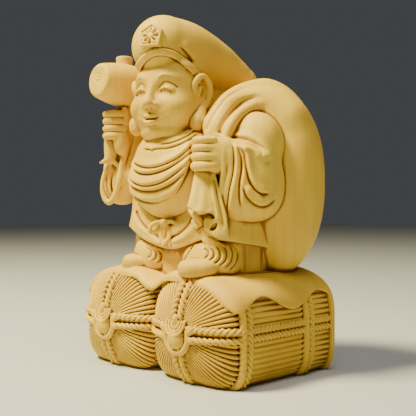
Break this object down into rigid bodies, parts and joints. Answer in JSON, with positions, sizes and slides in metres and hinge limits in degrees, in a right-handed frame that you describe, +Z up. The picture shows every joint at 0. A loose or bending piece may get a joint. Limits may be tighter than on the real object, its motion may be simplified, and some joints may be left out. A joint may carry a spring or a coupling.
{
  "type": "daikoku figure",
  "caption": "Wood carving of Daikoku, the god of good fortune, with a raised mallet and a sack over the left shoulder, standing on rice bales under a cloth.",
  "frame": {"origin": "middle of the flat underside of the rice bales, on the surface that the carving stands on", "axes": "+Z up; -Y is the way the figure faces; +X is the figure's left hand side, where the sack is"},
  "size_m": [0.129, 0.097, 0.1956],
  "materials": {
    "boxwood": "satin"
  },
  "bodies": {
    "root": {"daikoku_carving": "boxwood"}
  },
  "joints": []
}
